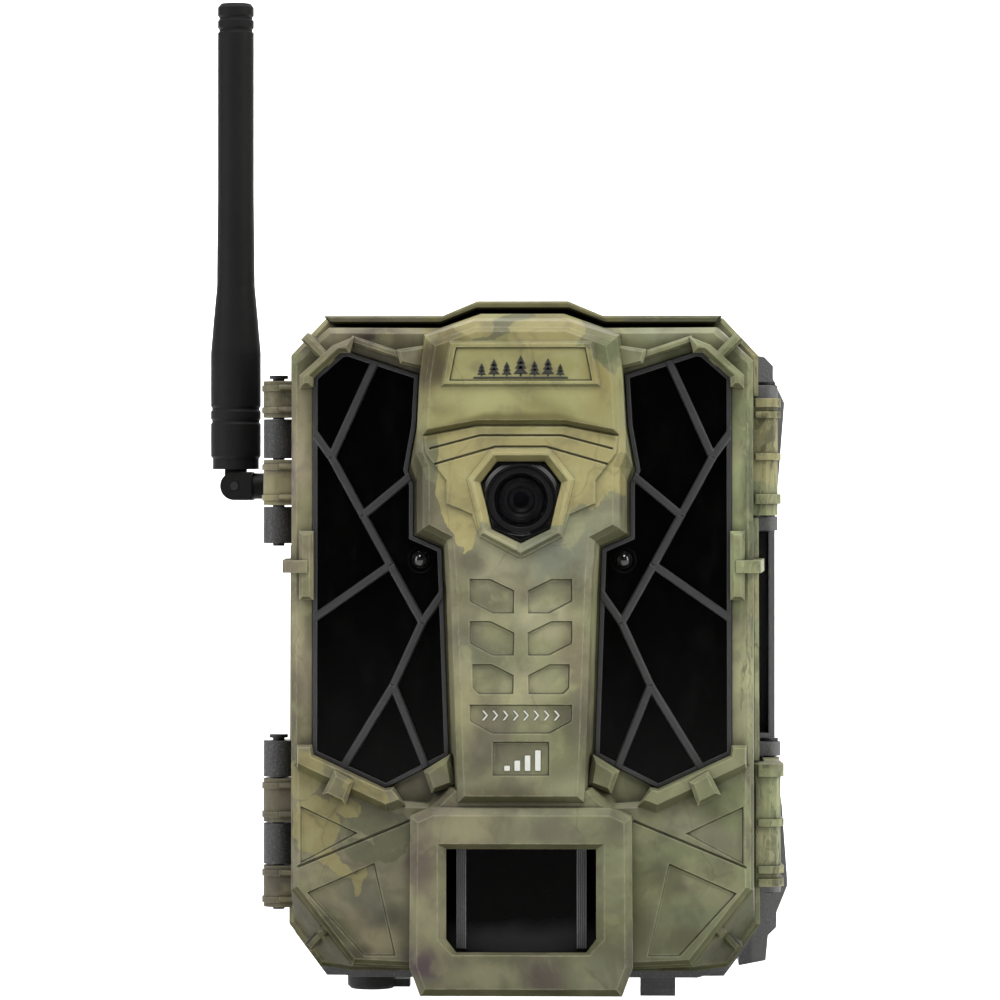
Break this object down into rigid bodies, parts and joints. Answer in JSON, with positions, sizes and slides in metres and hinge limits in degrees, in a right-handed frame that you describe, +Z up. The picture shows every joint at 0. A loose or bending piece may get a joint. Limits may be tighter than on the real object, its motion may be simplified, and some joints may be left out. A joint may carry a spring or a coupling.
{
  "type": "trail camera",
  "caption": "Weatherproof cellular trail camera with a hinged camouflage front cover, dark infrared lamp windows, a motion sensor, side latches and a folding antenna.",
  "frame": {"origin": "centre of the mouth of the tripod thread under the rear housing", "axes": "+X to the latch side as seen from the front, +Y from the lens towards the tree, +Z up"},
  "size_m": [0.1199, 0.0893, 0.2055],
  "materials": {
    "camo_shell": "moulded plastic with a dipped camouflage print, fine satin grain",
    "dark_filter": "near-black infrared filter, glossy",
    "grille": "dark grey lattice, satin",
    "circuit_board": "green solder mask",
    "lamp_resin": "clear lamp resin",
    "dome": "smoked dome",
    "black_gloss": "gloss black moulding",
    "clear_glass": "coated optical glass",
    "black_part": "fine matte black",
    "filter_glass": "infrared-cut glass",
    "bright_metal": "plated steel",
    "screen": "display glass",
    "black_shell": "black moulded plastic with spark texture",
    "key_rubber": "silicone key",
    "card_white": "white card",
    "plate_grey": "inlaid plate",
    "gasket_rubber": "soft black rubber",
    "cell_wrap": "printed battery sleeve",
    "brass_insert": "machined brass",
    "antenna_black": "soft matte black"
  },
  "bodies": {
    "housing": {"rear_housing": "black_shell", "door_gasket": "gasket_rubber", "hinge_pins": "bright_metal", "latch_pins": "bright_metal", "battery_tray": "black_part", "aa_cells": "cell_wrap", "battery_contacts": "bright_metal", "battery_springs": "bright_metal", "power_board": "circuit_board", "dc_jack": "black_part", "tripod_insert": "brass_insert", "antenna_connector": "brass_insert"},
    "cover": {"front_cover": "camo_shell", "led_window_left": "dark_filter", "led_window_right": "dark_filter", "led_grille_left": "grille", "led_grille_right": "grille", "ir_led_board_left": "circuit_board", "ir_led_board_right": "circuit_board", "ir_leds": "lamp_resin", "light_sensor": "dome", "status_led": "dome", "lens_hood": "black_gloss", "lens_window": "clear_glass", "lens_barrel": "black_part", "lens_elements": "clear_glass", "lens_holder": "black_part", "image_sensor_board": "circuit_board", "pir_lens": "black_gloss", "pir_shroud": "black_part", "pir_sensor": "bright_metal", "pir_board": "circuit_board", "main_board": "circuit_board", "cellular_module": "bright_metal", "lcd_screen": "screen", "inner_panel": "black_shell", "card_slot": "bright_metal", "sim_slot": "bright_metal", "data_socket": "bright_metal", "panel_screws": "bright_metal", "name_plate": "plate_grey"},
    "latch_upper": {"latch_upper": "camo_shell"},
    "latch_lower": {"latch_lower": "camo_shell"},
    "antenna_base": {"antenna_base": "antenna_black", "antenna_pin": "bright_metal"},
    "antenna_whip": {"antenna_whip": "antenna_black"},
    "jack_cap": {"jack_cap": "gasket_rubber"},
    "power_switch": {"power_switch": "black_part"},
    "button_up": {"button_up": "key_rubber"},
    "button_down": {"button_down": "key_rubber"},
    "button_back": {"button_back": "key_rubber"},
    "button_ok": {"button_ok": "key_rubber"},
    "memory_card": {"memory_card": "black_part"},
    "sim_card": {"sim_card": "card_white"},
    "ir_cut_filter": {"ir_cut_filter": "filter_glass"}
  },
  "joints": [
    {"name": "cover_hinge", "type": "hinge", "parent": "housing", "child": "cover", "pos_m": [-0.0498, -0.025, 0.07], "axis": [0, 0, -1], "range_deg": [0, 110]},
    {"name": "latch_upper_pivot", "type": "hinge", "parent": "housing", "child": "latch_upper", "pos_m": [0.0494, -0.006, 0.10715], "axis": [0, 0, 1], "range_deg": [0, 100]},
    {"name": "latch_lower_pivot", "type": "hinge", "parent": "housing", "child": "latch_lower", "pos_m": [0.05, -0.006, 0.0333], "axis": [0, 0, 1], "range_deg": [0, 100]},
    {"name": "antenna_swivel", "type": "hinge", "parent": "housing", "child": "antenna_base", "pos_m": [-0.052, 0, 0.1014], "axis": [-1, 0, 0], "range_deg": [-90, 180]},
    {"name": "antenna_tilt", "type": "hinge", "parent": "antenna_base", "child": "antenna_whip", "pos_m": [-0.0606, 0, 0.1014], "axis": [0, -1, 0], "range_deg": [0, 90]},
    {"name": "jack_cap_flap", "type": "hinge", "parent": "housing", "child": "jack_cap", "pos_m": [-0.0326, 0.014, 0.0003], "axis": [1, 0, 0], "range_deg": [0, 110]},
    {"name": "power_slide", "type": "slide", "parent": "cover", "child": "power_switch", "axis": [1, 0, 0], "range_m": [0, 0.0085]},
    {"name": "button_up_press", "type": "slide", "parent": "cover", "child": "button_up", "axis": [0, -1, 0], "range_m": [0, 0.0008], "stiffness_N_per_m": 400},
    {"name": "button_down_press", "type": "slide", "parent": "cover", "child": "button_down", "axis": [0, -1, 0], "range_m": [0, 0.0008], "stiffness_N_per_m": 400},
    {"name": "button_back_press", "type": "slide", "parent": "cover", "child": "button_back", "axis": [0, -1, 0], "range_m": [0, 0.0008], "stiffness_N_per_m": 400},
    {"name": "button_ok_press", "type": "slide", "parent": "cover", "child": "button_ok", "axis": [0, -1, 0], "range_m": [0, 0.0008], "stiffness_N_per_m": 400},
    {"name": "memory_card_slide", "type": "slide", "parent": "cover", "child": "memory_card", "axis": [0, 0, -1], "range_m": [0, 0.022]},
    {"name": "sim_card_slide", "type": "slide", "parent": "cover", "child": "sim_card", "axis": [0, 0, -1], "range_m": [0, 0.012]},
    {"name": "ir_cut_slide", "type": "slide", "parent": "cover", "child": "ir_cut_filter", "axis": [1, 0, 0], "range_m": [0, 0.004]}
  ]
}
